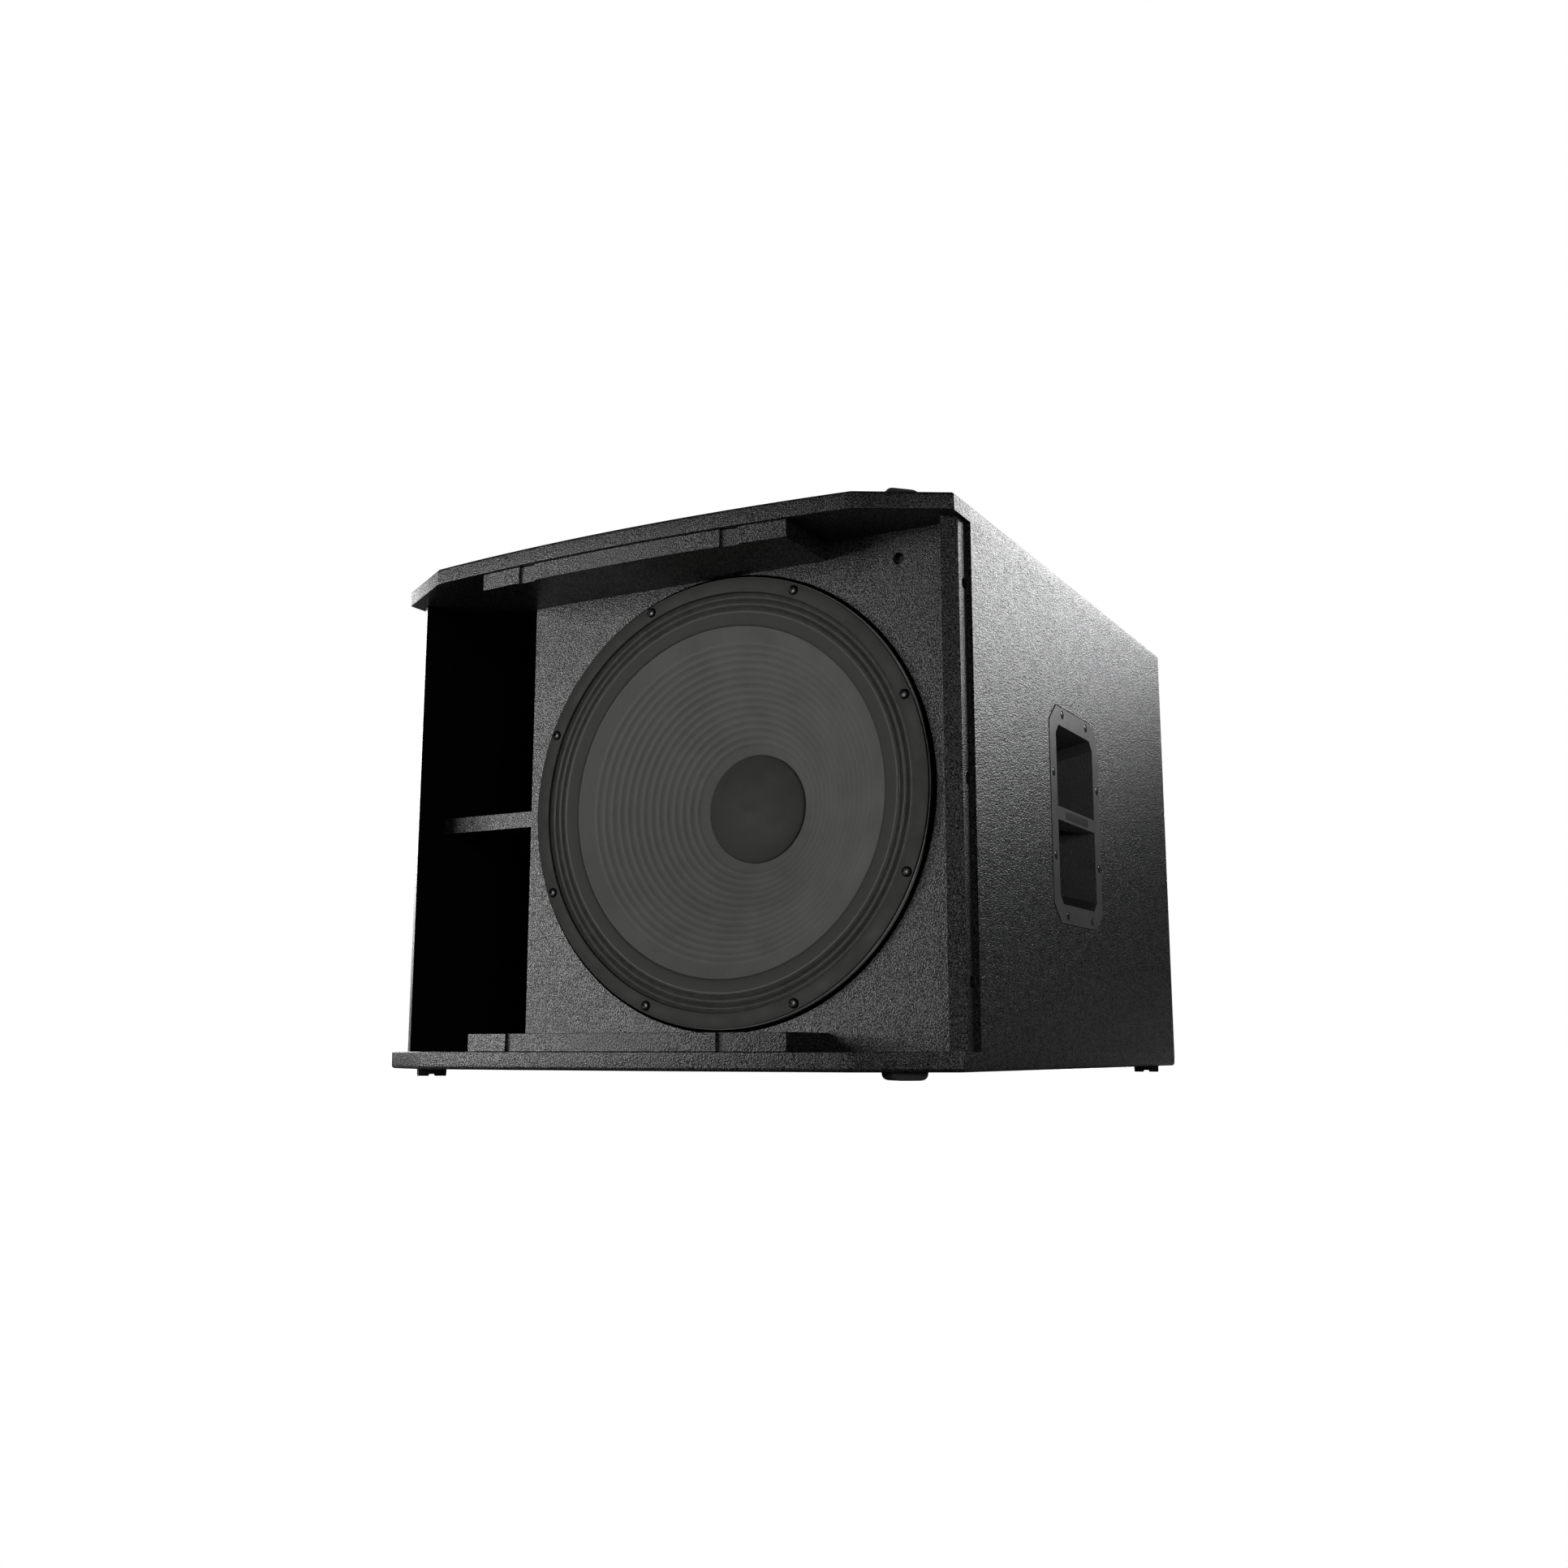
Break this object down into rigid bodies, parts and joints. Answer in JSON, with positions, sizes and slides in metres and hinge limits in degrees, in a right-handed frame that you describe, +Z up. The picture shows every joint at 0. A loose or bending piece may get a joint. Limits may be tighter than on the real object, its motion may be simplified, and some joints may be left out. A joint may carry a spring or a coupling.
{
  "type": "pa speaker cabinet",
  "caption": "Powered bass-reflex PA cabinet with a large driver, side slot port, bar handles, rubber skids and a rear amplifier panel; front grille removed.",
  "frame": {"origin": "on the floor under the middle of the cabinet: bottom centre of its bounding box", "axes": "+Z up, -Y out of the front baffle, +X to the right seen from the front"},
  "size_m": [0.673, 0.776, 0.555],
  "materials": {
    "cabinet_paint": "birch plywood under fine speckled texture paint",
    "plywood": "bare birch plywood",
    "rubber": "matt moulded rubber",
    "handle_plastic": "fine-grained moulded plastic",
    "cone_paper": null,
    "surround_cloth": "doped pleated cloth",
    "spider_cloth": "phenolic-dipped woven cloth",
    "gasket_paper": "dense matt gasket board",
    "cast_frame": "black powder-coated casting",
    "black_steel": "black-passivated steel",
    "steel": "zinc-plated steel",
    "ferrite": null,
    "panel_aluminium": "black-anodised aluminium",
    "black_plastic": "moulded plastic",
    "lens": "smoked lens",
    "copper": "enamelled copper winding",
    "circuit_board": "glass-fibre board with parts",
    "foam": "open wadding"
  },
  "bodies": {
    "cabinet": {"amp_board": "circuit_board", "amp_heatsink": "panel_aluminium", "amp_panel": "panel_aluminium", "amp_tray": "steel", "back_panel": "cabinet_paint", "baffle": "cabinet_paint", "bottom_grille_batten": "cabinet_paint", "bottom_panel": "cabinet_paint", "damping_foam": "foam", "foot_front_left": "rubber", "foot_front_right": "rubber", "foot_rear_left": "rubber", "foot_rear_right": "rubber", "indicator_lens": "lens", "input_socket_1": "black_plastic", "input_socket_2": "black_plastic", "left_handle": "handle_plastic", "left_side_panel": "cabinet_paint", "magnet_back_plate": "steel", "magnet_ring": "ferrite", "magnet_top_plate": "steel", "mains_inlet": "black_plastic", "output_socket_1": "black_plastic", "output_socket_2": "black_plastic", "pole_socket": "black_steel", "port_brace": "cabinet_paint", "port_divider": "cabinet_paint", "power_switch_frame": "black_plastic", "power_transformer": "copper", "right_handle": "handle_plastic", "right_side_panel": "cabinet_paint", "stacking_pad_front_left": "rubber", "stacking_pad_front_right": "rubber", "stacking_pad_rear_left": "rubber", "stacking_pad_rear_right": "rubber", "top_grille_batten": "cabinet_paint", "top_panel": "cabinet_paint", "window_brace": "plywood", "woofer_basket": "cast_frame", "woofer_gasket": "gasket_paper", "woofer_screw_1": "black_steel", "woofer_screw_2": "black_steel", "woofer_screw_3": "black_steel", "woofer_screw_4": "black_steel", "woofer_screw_5": "black_steel", "woofer_screw_6": "black_steel", "woofer_screw_7": "black_steel", "woofer_screw_8": "black_steel", "woofer_spider": "spider_cloth", "woofer_surround": "surround_cloth"},
    "cone_assembly": {"woofer_cone": "cone_paper", "woofer_dust_cap": "cone_paper", "voice_coil_former": "copper"},
    "level_knob": {"level_knob": "black_plastic"},
    "crossover_knob": {"crossover_knob": "black_plastic"},
    "polarity_button": {"polarity_button": "black_plastic"},
    "power_rocker": {"power_rocker": "black_plastic"},
    "input_latch_1": {"input_latch_1": "black_plastic"},
    "input_latch_2": {"input_latch_2": "black_plastic"}
  },
  "joints": [
    {"name": "cone_travel", "type": "slide", "parent": "cabinet", "child": "cone_assembly", "axis": [0, -1, 0], "range_m": [-0.008, 0.008], "stiffness_N_per_m": 4000, "deforming": ["woofer_surround", "woofer_spider"]},
    {"name": "level_knob_turn", "type": "hinge", "parent": "cabinet", "child": "level_knob", "pos_m": [0.092, 0.372, 0.2475], "axis": [0, 1, 0], "range_deg": [-150, 150]},
    {"name": "crossover_knob_turn", "type": "hinge", "parent": "cabinet", "child": "crossover_knob", "pos_m": [0.092, 0.372, 0.2025], "axis": [0, 1, 0], "range_deg": [-150, 150]},
    {"name": "polarity_button_press", "type": "slide", "parent": "cabinet", "child": "polarity_button", "axis": [0, -1, 0], "range_m": [0, 0.003], "stiffness_N_per_m": 300},
    {"name": "power_rocker_tilt", "type": "hinge", "parent": "cabinet", "child": "power_rocker", "pos_m": [-0.015, 0.371, 0.1555], "axis": [1, 0, 0], "range_deg": [-20, 0]},
    {"name": "input_latch_1_press", "type": "slide", "parent": "cabinet", "child": "input_latch_1", "axis": [0, -1, 0], "range_m": [0, 0.002], "stiffness_N_per_m": 400},
    {"name": "input_latch_2_press", "type": "slide", "parent": "cabinet", "child": "input_latch_2", "axis": [0, -1, 0], "range_m": [0, 0.002], "stiffness_N_per_m": 400}
  ]
}
